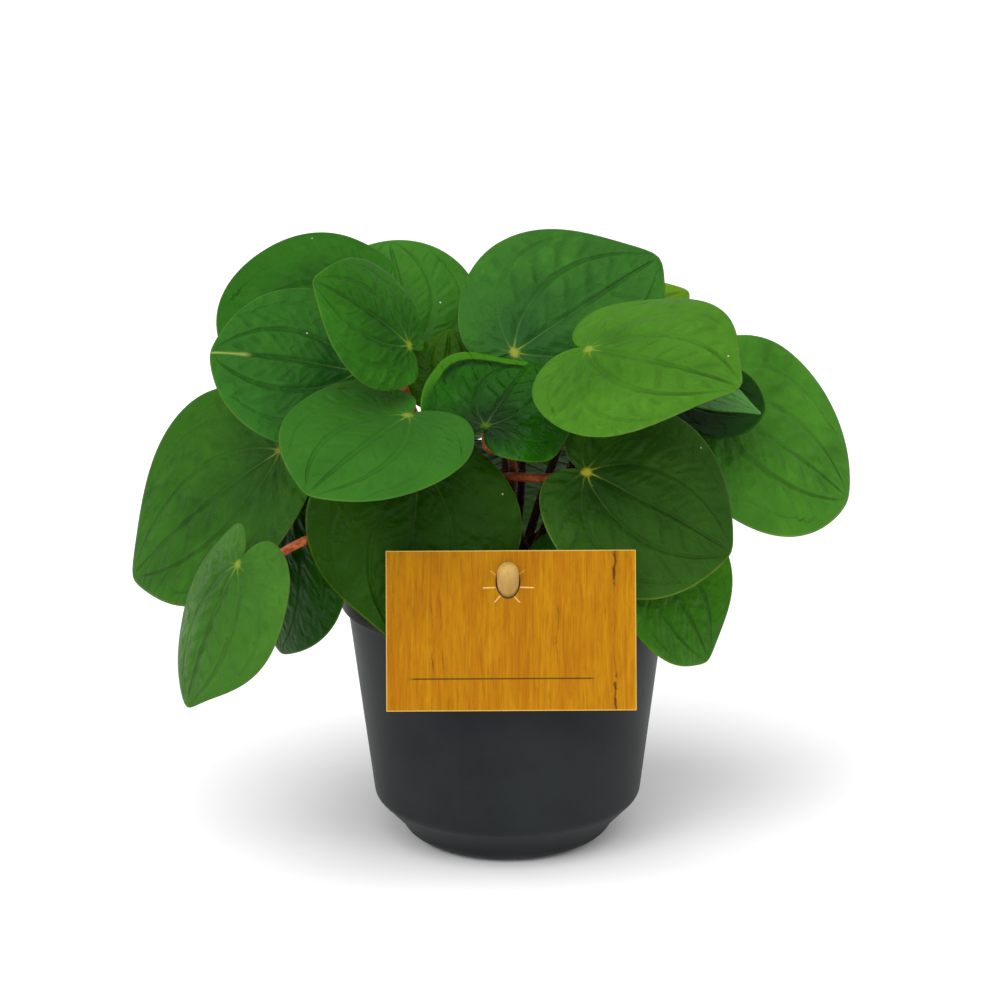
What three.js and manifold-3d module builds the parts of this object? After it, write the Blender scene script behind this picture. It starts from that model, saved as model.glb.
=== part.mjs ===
// A potted peperomia: thick heart-shaped leaves on red stalks that rise from one crown, in a
// nursery pot of peat, with a picture label hung on a wooden stick.
// Millimetres, +Z up. The origin is the centre of the pot's underside, and -Y is the side
// with the label.

import * as THREE from 'three';
import { mergeVertices } from 'three/addons/utils/BufferGeometryUtils.js';
import Module from 'manifold-3d';

const wasm = await Module();
wasm.setup();

// ---- Driving dimensions ----

const GAP = 0.3;                     // clearance between pieces that touch

const POT_HEIGHT = 95;
const RIM_RADIUS = 60;
const RIM_BAND = 6.5;                // height of the thicker band round the mouth
const WALL_TOP_RADIUS = 57.6;
const WALL_FOOT_RADIUS = 48.7;
const WALL_FOOT_Z = 17.6;
const FOOT_RADIUS = 38.9;            // the narrower foot under the wall
const FOOT_Z = 6.2;
const REST_RADIUS = 26.5;            // flat disc that the pot stands on
const SHOULDER_INSET = 2.5;          // of the rounded step between the wall and the foot
const SHOULDER_DROP = 3.8;
const RIM_EDGE = 0.7;                // bevel of the pot's upper edge
const POT_WALL = 1.4;
const POT_SEGMENTS = 36;

const SOIL_EDGE_Z = 86;
const SOIL_CROWN_Z = 97;
const SOIL_ROUGHNESS = 1.1;

const CROWN_RADIUS = 12;
const CROWN_FOOT_Z = 76;
const CROWN_TOP_Z = 105;
const CROWN_SHOULDER = 7;            // how far below its top the crown begins to round off
const CROWN_SIDES = 18;

const STALK_RADIUS = 1.6;
const STALK_SIDES = 6;
const STALK_STEPS = 8;
const STALK_ROOT_RADIUS = 6;         // circle in the crown on which the stalks are rooted
const STALK_ROOT_Z = 88;
const STALK_APPROACH = 6;            // last stretch under a blade
const SEAT_ROOM = 0.8;               // for the slant of a stalk's end under its blade

const BLADE_THICKNESS = 1;
const HUB_TO_CENTRE = 0.37;          // of the leaf's length: the stalk meets it off centre
const HALF_WIDTH = 0.6;              // of the leaf's length
const TIP_TAPER = 0.1;               // how much the sides are drawn in next to the tip
const TAPER_ANGLE = 20;              // degrees from the tip at which they are drawn in most
const SINUS_DEPTH = 0.8;             // how deep the notch behind the stalk cuts
const SINUS_ANGLE = 26;              // degrees over which the notch opens
const LOBE_FROM = 60;                // degrees from the tip between which a leaf's outline
const LOBE_TO = 120;                 // passes over into its two rounded lobes
const QUILTING = 0.013;              // of the leaf's length: its height between sunken veins
const VEIN_WIDTH = 0.08;             // of the leaf's length
const MARGIN_WAVE = 0.012;           // of the leaf's length
const MARGIN_WAVES = 5;              // waves round the margin
const LEAST_BEND = 0.1;              // degrees, for a half that is all but flat

const LABEL_WIDTH = 86.5;
const LABEL_HEIGHT = 55.5;
const LABEL_THICKNESS = 0.8;
const LABEL_LEAN = 17;               // degrees that its top leans back
const LABEL_CENTRE = new THREE.Vector3(1.4, -61, 96.5);
const HOLE_ASIDE = -1;               // from the label's centre across to its hole
const HOLE_RISE = 17.35;             // and up to it
const HOLE_SAG = 0.3;                // how much deeper it is cut below the stick than above it

const STICK_RADIUS = 3.9;
const STICK_SIDES = 16;
const STICK_LEAN = 35;               // degrees that its head leans forward
const STICK_FOOT_Z = 40;
const STICK_PROUD = 8.2;             // how far the head stands past the label's hole

// ---- Leaves ----
// hub is where the stalk meets the blade and tip is its point. roll turns the blade about the
// line between them, arch bends it down along that line, and cup bends its left and right
// halves down across it, all in degrees. lobe is the size of the two rounded lobes behind the
// hub, and taper is how much the sides are drawn in next to the tip, where that isn't
// TIP_TAPER. via, where a stalk needs it, are points that it passes on its way from the crown.

const LEAVES = {
  top_left: {
    hub: [-48, 24, 198], tip: [-101, 11, 179], roll: 39, arch: 20, cup: [13, 10], lobe: 0.96,
    taper: 0, via: [[-36, 6, 150], [-44, 16, 180]],
  },
  top_back: {
    hub: [-34, 30, 174], tip: [-43, 64, 208], roll: 2, arch: 22, cup: [12, 15], lobe: 1,
    taper: 0,
  },
  top_centre: {
    hub: [3, 10, 178], tip: [56, 40, 206], roll: -50, arch: 11, cup: [26, 17], lobe: 0.89,
    via: [[6, 6, 150]],
  },
  small: {
    hub: [-34, -24, 189], tip: [-66, -35, 215], roll: 41, arch: 24, cup: [24, 8], lobe: 0.9,
    taper: 0.07,
  },
  mid_left: {
    hub: [-52, -14, 177], tip: [-104, -11, 184], roll: 44, arch: 19, cup: [10, 10], lobe: 1,
    taper: 0.03,
  },
  front_left: {
    hub: [-34, -41, 168], tip: [-67, -79, 151], roll: 14, arch: 15, cup: [3, -6], lobe: 1.14,
    taper: 0.05, via: [[-29, -22, 150], [-35, -31, 161]],
  },
  front_right: {
    hub: [29, -28, 188], tip: [79, -64, 184], roll: -28, arch: 14, cup: [11, 11], lobe: 1.08,
    via: [[30, -8, 159]],
  },
  left_large: {
    hub: [-81, 2, 144], tip: [-136, 13, 94], roll: 38, arch: 21, cup: [-2, -8], lobe: 0.78,
    taper: 0.06,
  },
  left_pointed: {
    hub: [-93, -52, 118], tip: [-111, -60, 69], roll: 10, arch: 21, cup: [23, 28], lobe: 1.13,
    via: [[-48, -30, 124], [-70, -43, 124]],
  },
  left_under: {
    hub: [-75, -10, 127], tip: [-82, -6, 71], roll: 62, arch: 24, cup: [18, 13], lobe: 1.03,
    taper: 0.06,
  },
  low_left: {
    hub: [-30, -36, 149], tip: [-36, -57, 90], roll: 14, arch: 8, cup: [20, 0], lobe: 0.84,
  },
  low_right: {
    hub: [28, -32, 145], tip: [79, -30, 115], roll: -55, arch: 23, cup: [15, 1], lobe: 0.97,
    taper: 0.05, via: [[-3, -18, 138], [12, -28, 142]],
  },
  right_large: {
    hub: [70, 20, 159], tip: [125, 26, 118], roll: -34, arch: 23, cup: [-9, 13], lobe: 0.7,
    taper: 0.02,
  },
  right_cupped: {
    hub: [62, 8, 161], tip: [93, 5, 158], roll: -31, arch: 18, cup: [-2, 2], lobe: 0.8,
    taper: 0.02, via: [[30, -9, 141], [57, -4, 154]],
  },
  right_small: {
    hub: [53, -31, 178], tip: [88, -41, 168], roll: 2, arch: 11, cup: [-7, -5], lobe: 1,
    via: [[32, 0, 150], [44, -8, 171]],
  },
  right_under: {
    hub: [48, -27, 117], tip: [72, -27, 74], roll: -39, arch: 22, cup: [-12, -14], lobe: 1,
    taper: 0.06,
  },
  curled: {
    hub: [-7, -33, 162], tip: [9, 5, 176], roll: -2, arch: 5, cup: [-57, 38], lobe: 1.43,
    taper: 0.04, via: [[2, -21, 147]],
  },
  yellow: {
    hub: [-22, 4, 164], tip: [-20, 22, 184], roll: 0, arch: 10, cup: [10, 10], lobe: 1,
  },
  back_right: {
    hub: [34, 47, 179], tip: [68, 64, 188], roll: -24, arch: 20, cup: [10, 10], lobe: 1,
  },
  rear_top: {
    hub: [0, 46, 164], tip: [6, 92, 148], roll: 5, arch: 20, cup: [12, 12], lobe: 1,
  },
  rear_left: {
    hub: [-50, 48, 168], tip: [-90, 84, 148], roll: 8, arch: 20, cup: [12, 12], lobe: 1,
  },
  rear_right: {
    hub: [62, 49, 160], tip: [104, 79, 136], roll: -8, arch: 20, cup: [12, 12], lobe: 1,
  },
  rear_centre: {
    hub: [-20, 54, 145], tip: [-34, 98, 115], roll: 0, arch: 22, cup: [8, 8], lobe: 1,
    via: [[-14, 34, 140]],
  },
  rear_low_left: {
    hub: [-48, 40, 127], tip: [-86, 75, 92], roll: 8, arch: 20, cup: [10, 10], lobe: 1,
  },
  rear_low_right: {
    hub: [46, 52, 128], tip: [70, 94, 98], roll: -5, arch: 20, cup: [10, 10], lobe: 1,
  },
  rear_low: {
    hub: [4, 47, 132], tip: [4, 90, 85], roll: 0, arch: 24, cup: [10, 10], lobe: 0.9,
  },
  side_right: {
    hub: [72, 32, 128], tip: [100, 60, 100], roll: -10, arch: 22, cup: [10, 10], lobe: 1,
  },
  behind_label: {
    hub: [22, -23, 119], tip: [11, -41, 106], roll: -10, arch: 14, cup: [10, 10], lobe: 1,
  },
};

// Main veins from the hub, as the control points of a cubic curve in the left half of a leaf
// of length 1. The right half has the same ones mirrored.
const VEINS = [
  [[0, 0], [0.35, 0], [0.7, 0], [1, 0]],
  [[0, 0], [0.2, 0.24], [0.6, 0.34], [0.93, 0.07]],
  [[0, 0], [0.02, 0.34], [0.36, 0.6], [0.72, 0.38]],
  [[0, 0], [-0.12, 0.12], [-0.14, 0.32], [0.02, 0.46]],
];

// ---- Materials ----

function finish(color, roughness) {
  return new THREE.MeshStandardMaterial({ color, roughness, metalness: 0 });
}

const POT_PLASTIC = finish(0x3a3e3d, 0.5);
const PEAT = finish(0x191410, 0.95);
const STALK_RED = finish(0x8a4a2c, 0.5);
const LEAF_GREEN = finish(0x2f6f22, 0.4);
const LABEL_AMBER = finish(0xc08420, 0.6);
const STICK_WOOD = finish(0xd9b080, 0.75);

// ---- Solids ----

function toSolid(geometry) {
  const bare = geometry.clone();
  bare.deleteAttribute('normal');
  bare.deleteAttribute('uv');
  const merged = mergeVertices(bare, 1e-4);
  const mesh = new wasm.Mesh({
    numProp: 3,
    vertProperties: new Float32Array(merged.attributes.position.array),
    triVerts: new Uint32Array(merged.index.array),
  });
  return new wasm.Manifold(mesh);
}

function toGeometry(solid) {
  const mesh = solid.getMesh();
  const geometry = new THREE.BufferGeometry();
  geometry.setAttribute('position', new THREE.BufferAttribute(mesh.vertProperties, 3));
  geometry.setIndex(new THREE.BufferAttribute(mesh.triVerts, 1));
  return geometry;
}

function named(name, geometry, material) {
  const mesh = new THREE.Mesh(geometry, material);
  mesh.name = name;
  return mesh;
}

// A lathe turns about +Y, so it is stood up to turn about +Z.
function turned(points, segments) {
  const geometry = new THREE.LatheGeometry(points, segments);
  geometry.rotateX(Math.PI / 2);
  return geometry;
}

// ---- Pot and soil ----

// The radius of the pot's wall at a height, on its outside.
function wallRadius(z) {
  const share = (z - WALL_FOOT_Z) / (POT_HEIGHT - RIM_BAND - WALL_FOOT_Z);
  return THREE.MathUtils.lerp(WALL_FOOT_RADIUS, WALL_TOP_RADIUS, share);
}

function makePot() {
  const bandFoot = POT_HEIGHT - RIM_BAND;
  const outline = new THREE.Path();
  outline.moveTo(0, 0);
  outline.lineTo(REST_RADIUS, 0);
  outline.quadraticCurveTo(FOOT_RADIUS - 2, 0, FOOT_RADIUS, FOOT_Z);
  outline.lineTo(WALL_FOOT_RADIUS - SHOULDER_INSET, WALL_FOOT_Z - SHOULDER_DROP);
  outline.quadraticCurveTo(
    WALL_FOOT_RADIUS - 0.3, WALL_FOOT_Z - SHOULDER_DROP / 2,
    WALL_FOOT_RADIUS, WALL_FOOT_Z,
  );
  outline.lineTo(WALL_TOP_RADIUS, bandFoot - 1);
  outline.lineTo(RIM_RADIUS, bandFoot);
  outline.lineTo(RIM_RADIUS, POT_HEIGHT - RIM_EDGE);
  outline.lineTo(RIM_RADIUS - RIM_EDGE, POT_HEIGHT);
  outline.lineTo(RIM_RADIUS - POT_WALL, POT_HEIGHT);
  outline.lineTo(RIM_RADIUS - POT_WALL, bandFoot + 1);
  outline.lineTo(WALL_TOP_RADIUS - POT_WALL, bandFoot);
  outline.lineTo(WALL_FOOT_RADIUS - POT_WALL, WALL_FOOT_Z + 0.4);
  outline.quadraticCurveTo(
    WALL_FOOT_RADIUS - POT_WALL - 0.3, WALL_FOOT_Z - 1.4,
    WALL_FOOT_RADIUS - SHOULDER_INSET - 1.1, WALL_FOOT_Z - SHOULDER_DROP + 1,
  );
  outline.lineTo(FOOT_RADIUS - POT_WALL, FOOT_Z + 0.6);
  outline.quadraticCurveTo(FOOT_RADIUS - POT_WALL - 2, POT_WALL, REST_RADIUS, POT_WALL);
  outline.lineTo(0, POT_WALL);
  return named('pot', turned(outline.getPoints(3), POT_SEGMENTS), POT_PLASTIC);
}

// A number from 0 to 1 that is always the same for the same place.
function speckle(x, y) {
  const wave = Math.sin(x * 12.9898 + y * 78.233) * 43758.5453;
  return wave - Math.floor(wave);
}

function roughen(geometry, innerRadius, outerRadius) {
  const position = geometry.attributes.position;
  for (let i = 0; i < position.count; i += 1) {
    const x = Math.round(position.getX(i) * 100) / 100;
    const y = Math.round(position.getY(i) * 100) / 100;
    const radius = Math.hypot(x, y);
    const onTop = position.getZ(i) > SOIL_EDGE_Z + 0.5;
    if (onTop && radius > innerRadius && radius < outerRadius) {
      position.setZ(i, position.getZ(i) + SOIL_ROUGHNESS * (2 * speckle(x, y) - 1));
    }
  }
}

function makeSoil() {
  const wellRadius = CROWN_RADIUS + GAP;
  const wellFloor = CROWN_FOOT_Z - GAP;
  const inset = POT_WALL + GAP;
  const edgeRadius = wallRadius(SOIL_EDGE_Z) - inset;
  const points = [
    [0, POT_WALL + GAP],
    [REST_RADIUS - 1, POT_WALL + GAP],
    [FOOT_RADIUS - inset - 1, FOOT_Z + 1.5],
    [WALL_FOOT_RADIUS - 4, WALL_FOOT_Z - 2],
    [WALL_FOOT_RADIUS - inset, WALL_FOOT_Z + 2],
    [edgeRadius, SOIL_EDGE_Z],
  ];
  const rings = 5;
  for (let i = 1; i <= rings; i += 1) {
    const share = i / rings;
    const height = THREE.MathUtils.lerp(SOIL_EDGE_Z, SOIL_CROWN_Z, Math.sin(share * Math.PI / 2));
    points.push([THREE.MathUtils.lerp(edgeRadius, wellRadius, share), height]);
  }
  points.push([wellRadius, wellFloor], [0, wellFloor]);
  const profile = points.map(([radius, z]) => new THREE.Vector2(radius, z));
  const geometry = turned(profile, POT_SEGMENTS);
  roughen(geometry, wellRadius + 1, edgeRadius - 1);
  const hole = stickGeometry(STICK_RADIUS + GAP, STICK_FOOT_Z - GAP);
  const solid = toSolid(geometry).subtract(toSolid(hole));
  return named('soil', toGeometry(solid), PEAT);
}

// ---- Label and its stick ----

// The place and turn of the label, which leans back on the stick.
function labelFrame() {
  const frame = new THREE.Object3D();
  frame.position.copy(LABEL_CENTRE);
  frame.rotation.x = Math.PI / 2 - THREE.MathUtils.degToRad(LABEL_LEAN);
  frame.updateMatrix();
  return frame;
}

// The middle of the label's hole, through which the stick's axis passes.
function holeCentre() {
  return new THREE.Vector3(HOLE_ASIDE, HOLE_RISE, 0).applyMatrix4(labelFrame().matrix);
}

// The stick's axis, from its foot in the peat up to its head.
function stickDirection() {
  const lean = THREE.MathUtils.degToRad(STICK_LEAN);
  return new THREE.Vector3(0, -Math.sin(lean), Math.cos(lean));
}

// A round stick with a rounded head, of any radius and down to any height.
function stickGeometry(radius, footZ) {
  const direction = stickDirection();
  const centre = holeCentre();
  const length = (centre.z - footZ) / direction.z + STICK_PROUD;
  const outline = new THREE.Path();
  outline.moveTo(0, 0);
  outline.lineTo(radius - 1, 0);
  outline.lineTo(radius, 1);
  outline.lineTo(radius, length - 1.5 * radius);
  outline.quadraticCurveTo(radius, length, 0, length);
  const geometry = turned(outline.getPoints(6), STICK_SIDES);
  const up = new THREE.Vector3(0, 0, 1);
  const foot = centre.clone().addScaledVector(direction, STICK_PROUD - length);
  const turn = new THREE.Quaternion().setFromUnitVectors(up, direction);
  geometry.applyQuaternion(turn);
  geometry.translate(foot.x, foot.y, foot.z);
  return geometry;
}

function makeStick() {
  return named('label_stick', stickGeometry(STICK_RADIUS, STICK_FOOT_Z), STICK_WOOD);
}

function makeLabel() {
  const shape = new THREE.Shape();
  const right = LABEL_WIDTH / 2;
  const top = LABEL_HEIGHT / 2;
  shape.moveTo(-right, -top);
  shape.lineTo(right, -top);
  shape.lineTo(right, top);
  shape.lineTo(-right, top);
  shape.closePath();
  const slant = THREE.MathUtils.degToRad(90 - LABEL_LEAN - STICK_LEAN);
  const clear = STICK_RADIUS + GAP;
  const rise = clear / Math.cos(slant) + (LABEL_THICKNESS / 2) * Math.tan(slant);
  const hole = new THREE.Path();
  hole.absellipse(
    HOLE_ASIDE, HOLE_RISE - HOLE_SAG, clear + 0.1, rise + 0.2 + HOLE_SAG,
    0, 2 * Math.PI, true,
  );
  shape.holes.push(hole);
  const geometry = new THREE.ExtrudeGeometry(shape, {
    depth: LABEL_THICKNESS, bevelEnabled: false, curveSegments: 16,
  });
  geometry.translate(0, 0, -LABEL_THICKNESS / 2);
  const frame = labelFrame();
  const label = named('label_card', geometry, LABEL_AMBER);
  label.position.copy(frame.position);
  label.rotation.copy(frame.rotation);
  return label;
}

// ---- Leaf blades ----

// A leaf's own axes at its hub: along to the tip, left across it, and up out of the blade.
function leafAxes(leaf) {
  const hub = new THREE.Vector3(...leaf.hub);
  const along = new THREE.Vector3(...leaf.tip).sub(hub);
  const chord = along.length();
  along.normalize();
  const up = new THREE.Vector3(0, 0, 1).addScaledVector(along, -along.z).normalize();
  const left = up.clone().cross(along);
  const roll = THREE.MathUtils.degToRad(leaf.roll);
  return {
    hub,
    chord,
    along,
    up: up.clone().multiplyScalar(Math.cos(roll)).addScaledVector(left, Math.sin(roll)),
    left: left.clone().multiplyScalar(Math.cos(roll)).addScaledVector(up, -Math.sin(roll)),
  };
}

// The cut of every blade: its reach from the hub at an angle from the tip, for a length of 1.
function bladeReach(angle, leaf) {
  const turn = Math.abs(angle);
  const degrees = THREE.MathUtils.radToDeg(turn);
  const radius = 1 - HUB_TO_CENTRE;
  const circle = HUB_TO_CENTRE * Math.cos(turn)
    + Math.sqrt(radius ** 2 - (HUB_TO_CENTRE * Math.sin(turn)) ** 2);
  const past = degrees / TAPER_ANGLE;
  const taper = 1 - (leaf.taper ?? TIP_TAPER) * past * Math.exp(1 - past);
  const sinus = 1 - SINUS_DEPTH * Math.exp(-(((180 - degrees) / SINUS_ANGLE) ** 2));
  const behind = THREE.MathUtils.smoothstep(degrees, LOBE_FROM, LOBE_TO);
  return circle * taper * sinus * (1 + (leaf.lobe - 1) * behind);
}

const VEIN_POINTS = VEINS.flatMap((corners) => {
  const [a, b, c, d] = corners.map(([u, v]) => new THREE.Vector3(u, v, 0));
  return new THREE.CubicBezierCurve3(a, b, c, d).getPoints(12);
});

// How high the blade stands between its sunken veins, from 0 on a vein to 1.
function quilting(u, v) {
  const place = new THREE.Vector3(u, Math.abs(v), 0);
  const distances = VEIN_POINTS.map((point) => point.distanceTo(place));
  const nearest = Math.min(...distances);
  return 1 - Math.exp(-((nearest / VEIN_WIDTH) ** 2));
}

// A point of the blade at an angle from the tip, a share of its reach and a height above the
// middle of its thickness.
function bladePoint(leaf, axes, angle, share, height) {
  const arch = THREE.MathUtils.degToRad(leaf.arch);
  const length = axes.chord * (arch / 2) / Math.sin(arch / 2);
  const reach = bladeReach(angle, leaf) * share;
  const u = reach * Math.cos(angle);
  const v = reach * Math.sin(angle);
  const degrees = v >= 0 ? leaf.cup[0] : leaf.cup[1];
  const bend = THREE.MathUtils.degToRad(degrees || LEAST_BEND) / (HALF_WIDTH * length);
  const wave = MARGIN_WAVE * share ** 3 * Math.sin(MARGIN_WAVES * angle + leaf.hub[0]);
  const relief = QUILTING * quilting(u, v) * (1 - share ** 4);
  const rise = (wave + relief) * length + height;
  const slope = bend * v * length;
  const across = Math.sin(slope) * (1 / bend + rise);
  const lift = Math.cos(slope) * (1 / bend + rise) - 1 / bend;
  const radius = length / arch;
  const turn = u * arch;
  const x = (radius + lift) * Math.sin(turn);
  const z = (radius + lift) * Math.cos(turn) - radius;
  const half = arch / 2;
  return axes.hub.clone()
    .addScaledVector(axes.along, x * Math.cos(half) - z * Math.sin(half))
    .addScaledVector(axes.left, across)
    .addScaledVector(axes.up, x * Math.sin(half) + z * Math.cos(half));
}

// Half of the angles round a blade, from its tip to the notch behind the hub, in degrees.
const HALF_TURN = [0, 9, 22, 38, 56, 75, 94, 112, 129, 145, 159, 170, 180];
const RING_SHARES = [0.3, 0.58, 0.82, 1];

function makeBlade(name, leaf) {
  const axes = leafAxes(leaf);
  const rightSide = HALF_TURN.slice(1, -1).reverse().map((degrees) => -degrees);
  const angles = [...HALF_TURN, ...rightSide].map(THREE.MathUtils.degToRad);
  const count = angles.length;
  const positions = [];
  [BLADE_THICKNESS / 2, -BLADE_THICKNESS / 2].forEach((height) => {
    positions.push(...bladePoint(leaf, axes, 0, 0, height).toArray());
    RING_SHARES.forEach((share) => {
      angles.forEach((angle) => {
        positions.push(...bladePoint(leaf, axes, angle, share, height).toArray());
      });
    });
  });
  const under = positions.length / 3 / 2;          // points in each of the two sheets
  const triangles = [];
  function faces(a, b, c) {
    triangles.push(a, b, c);
    triangles.push(under + a, under + c, under + b);
  }
  for (let i = 0; i < count; i += 1) {
    const next = (i + 1) % count;
    faces(0, 1 + i, 1 + next);
    for (let ring = 1; ring < RING_SHARES.length; ring += 1) {
      const inner = 1 + (ring - 1) * count;
      const outer = 1 + ring * count;
      faces(inner + i, outer + i, outer + next);
      faces(inner + i, outer + next, inner + next);
    }
    const rim = 1 + (RING_SHARES.length - 1) * count;
    triangles.push(rim + i, under + rim + i, under + rim + next);
    triangles.push(rim + i, under + rim + next, rim + next);
  }
  const geometry = new THREE.BufferGeometry();
  geometry.setAttribute('position', new THREE.Float32BufferAttribute(positions, 3));
  geometry.setIndex(triangles);
  return named(`leaf_${name}`, geometry, LEAF_GREEN);
}

// ---- Crown and stalks ----

// A stalk leaves the crown upwards and comes up to its blade from below the hub.
function stalkPath(leaf) {
  const axes = leafAxes(leaf);
  const bearing = Math.atan2(leaf.hub[1], leaf.hub[0]);
  const outward = new THREE.Vector3(Math.cos(bearing), Math.sin(bearing), 0);
  const root = outward.clone().multiplyScalar(STALK_ROOT_RADIUS).setZ(STALK_ROOT_Z);
  const exit = outward.clone().multiplyScalar(CROWN_RADIUS).setZ(CROWN_TOP_Z);
  const below = BLADE_THICKNESS / 2 + GAP + SEAT_ROOM;
  const end = axes.hub.clone().addScaledVector(axes.up, -below);
  const approach = end.clone().addScaledVector(axes.up, -STALK_APPROACH)
    .addScaledVector(axes.along, -STALK_APPROACH / 6);
  const via = (leaf.via ?? []).map((point) => new THREE.Vector3(...point));
  return new THREE.CatmullRomCurve3([root, exit, ...via, approach, end]);
}

function stalkGeometry(leaf) {
  const section = new THREE.Shape();
  section.absarc(0, 0, STALK_RADIUS, 0, 2 * Math.PI, false);
  return new THREE.ExtrudeGeometry(section, {
    steps: STALK_STEPS,
    curveSegments: STALK_SIDES / 2,
    extrudePath: stalkPath(leaf),
    bevelEnabled: false,
  });
}

function makeStalks() {
  const points = [
    new THREE.Vector2(0, CROWN_FOOT_Z),
    new THREE.Vector2(CROWN_RADIUS - 1, CROWN_FOOT_Z),
    new THREE.Vector2(CROWN_RADIUS, CROWN_FOOT_Z + 1),
    new THREE.Vector2(CROWN_RADIUS, CROWN_TOP_Z - CROWN_SHOULDER),
    new THREE.Vector2(CROWN_RADIUS * 0.7, CROWN_TOP_Z - CROWN_SHOULDER / 4),
    new THREE.Vector2(0, CROWN_TOP_Z),
  ];
  let solid = toSolid(turned(points, CROWN_SIDES));
  Object.values(LEAVES).forEach((leaf) => {
    solid = solid.add(toSolid(stalkGeometry(leaf)));
  });
  return named('stalks', toGeometry(solid), STALK_RED);
}

// ---- Plant ----

const plant = new THREE.Group();
plant.add(makePot(), makeSoil(), makeStalks(), makeLabel(), makeStick());
Object.entries(LEAVES).forEach(([name, leaf]) => plant.add(makeBlade(name, leaf)));

export default plant;
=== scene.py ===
"""The looks of a potted peperomia: quilted leaves, stalks, peat, pot, label and stick.

Sizes are in millimetres and become metres when a mesh is made. The leaves, stalks, pot, soil,
label and stick repeat the sizes of the solids that they stand for.
"""

import functools
import math

import bpy
import numpy as np
from mathutils import Matrix, Vector, noise


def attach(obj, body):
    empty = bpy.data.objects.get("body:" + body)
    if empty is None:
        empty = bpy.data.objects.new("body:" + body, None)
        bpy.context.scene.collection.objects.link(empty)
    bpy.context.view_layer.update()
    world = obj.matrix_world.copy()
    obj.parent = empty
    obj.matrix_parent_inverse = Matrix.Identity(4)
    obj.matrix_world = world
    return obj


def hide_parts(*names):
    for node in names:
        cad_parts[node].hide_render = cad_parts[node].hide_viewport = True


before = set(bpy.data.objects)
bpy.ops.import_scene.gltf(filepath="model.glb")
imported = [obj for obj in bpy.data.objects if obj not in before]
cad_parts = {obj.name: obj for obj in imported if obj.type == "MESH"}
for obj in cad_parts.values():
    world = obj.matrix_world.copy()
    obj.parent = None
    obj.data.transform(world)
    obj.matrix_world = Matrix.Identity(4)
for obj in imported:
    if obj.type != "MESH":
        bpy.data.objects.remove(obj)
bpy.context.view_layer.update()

MM = 0.001

# ---- Camera and picture ----

CAMERA_TARGET = Vector((-2.2, 0, 126))
CAMERA_DISTANCE = 1300
CAMERA_ELEVATION = math.radians(16)
CAMERA_ROLL = math.radians(0.3)
PIXELS_PER_MM = 2.78             # at the target
PICTURE_SIDE = 1000
SENSOR = 36
FLOOR_REACH = 6000

# ---- Pot and soil ----

POT_HEIGHT = 95
RIM_RADIUS = 60
RIM_BAND = 6.5
WALL_TOP_RADIUS = 57.6
WALL_FOOT_RADIUS = 48.7
WALL_FOOT_Z = 17.6
FOOT_RADIUS = 38.9
FOOT_Z = 6.2
REST_RADIUS = 26.5
SHOULDER_INSET = 2.5
SHOULDER_DROP = 3.8
RIM_EDGE = 0.7
POT_WALL = 1.4
POT_SEGMENTS = 144

SOIL_EDGE_Z = 86
SOIL_CROWN_Z = 97
SOIL_ROUGHNESS = 1.3
SOIL_RINGS = 46
CRUMB_COUNT = 520
PERLITE_COUNT = 34
GRAIN_REACH = 52                 # how far from the plant's axis grains lie

# ---- Crown and stalks ----

CROWN_RADIUS = 12
CROWN_FOOT_Z = 76
CROWN_TOP_Z = 105
CROWN_SHOULDER = 7
CROWN_SIDES = 64
STALK_RADIUS = 1.6
STALK_SIDES = 14
STALK_STEPS = 44
STALK_ROOT_RADIUS = 6
STALK_ROOT_Z = 88
STALK_APPROACH = 6
STALK_END = 1.6                  # below the middle of the blade
STALK_FOOT_SIZE = 1.12           # of STALK_RADIUS
STALK_THINNING = 0.2             # from there to the blade
STALK_FLARE = 0.45               # at the blade
FLARE_SHARE = 0.02               # of the stalk's length

# ---- Leaves ----

BLADE_THICKNESS = 1
HUB_TO_CENTRE = 0.37             # of the leaf's length: the stalk meets it off centre
HALF_WIDTH = 0.6                 # of the leaf's length
TIP_TAPER = 0.1                  # where a leaf gives none of its own
USUAL_CUP = (10, 10)             # likewise, in degrees
USUAL_RIPENESS_AND_SHADE = 0.7             # likewise
TAPER_ANGLE = 20
TIP_BLUNTNESS = 4                # degrees either side of the tip that are rounded off
SINUS_DEPTH = 0.8
SINUS_ANGLE = 26
LOBE_FROM = 60
LOBE_TO = 120
QUILTING = 0.013                 # of the leaf's length: its height between sunken veins
VEIN_WIDTH = 0.08                # of the leaf's length
VEIN_POINTS = 33
VEIN_THINNING = 0.85             # from the hub to a vein's end
THINNEST_VEIN = 0.12             # of its width at the hub
MARGIN_WAVE = 0.012              # of the leaf's length
MARGIN_WAVES = 5
LEAST_BEND = 0.1
BLADE_ANGLES = 160
BLADE_RINGS = 40
RIM_SHARE = 1.004                # how far the rounded edge of a blade stands past its cut
RUNGS = 7                        # side veins that leave each main vein
RUNG_SLANT = 0.16                # how far they run on towards the tip, as a share of the vein
RUNG_DEPTH = 0.01                # of the leaf's length
RUNG_WIDTH = 0.24                # of the space between two of them

# Main veins from the hub, as the control points of a cubic curve in the left half of a leaf
# of length 1. The right half has the same ones mirrored.
VEINS = [
    [(0, 0), (0.35, 0), (0.7, 0), (1, 0)],
    [(0, 0), (0.2, 0.24), (0.6, 0.34), (0.93, 0.07)],
    [(0, 0), (0.02, 0.34), (0.36, 0.6), (0.72, 0.38)],
    [(0, 0), (-0.12, 0.12), (-0.14, 0.32), (0.02, 0.46)],
]


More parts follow.
